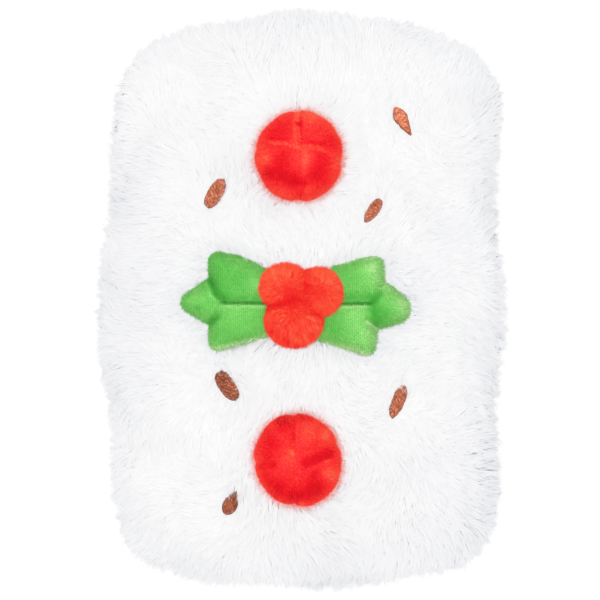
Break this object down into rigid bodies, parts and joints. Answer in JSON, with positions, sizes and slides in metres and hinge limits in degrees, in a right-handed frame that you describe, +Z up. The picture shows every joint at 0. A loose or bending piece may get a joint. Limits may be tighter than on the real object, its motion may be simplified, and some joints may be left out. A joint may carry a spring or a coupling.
{
  "type": "plush toy fruitcake",
  "caption": "Stuffed toy fruitcake: a white long-pile fur loaf with plush cherries, a padded holly sprig with pompon berries, and embroidered nuts.",
  "frame": {"origin": "middle of the loaf's flat underside, at the bottom centre of the whole", "axes": "+Z up, out of the side with the toppings; +Y along the loaf's long side, towards the end that is up in the picture; +X to the picture's right"},
  "size_m": [0.261, 0.3753, 0.2035],
  "materials": {
    "white_fur": "long soft white pile on a knitted back",
    "cherry_plush": "short dense red pile",
    "holly_minky": "velvety green minky with fine knit rows",
    "berry_pompon": "cut yarn, orange-red, ends out",
    "nut_thread": "satin stitch in brown thread"
  },
  "bodies": {
    "root": {"fur_loaf": "white_fur", "cherry_upper": "cherry_plush", "cherry_lower": "cherry_plush", "holly_leaf_left": "holly_minky", "holly_leaf_right": "holly_minky", "berry_upper_left": "berry_pompon", "berry_upper_right": "berry_pompon", "berry_lower": "berry_pompon", "stitched_nut_1": "nut_thread", "stitched_nut_2": "nut_thread", "stitched_nut_3": "nut_thread", "stitched_nut_4": "nut_thread", "stitched_nut_5": "nut_thread", "stitched_nut_6": "nut_thread"}
  },
  "joints": []
}
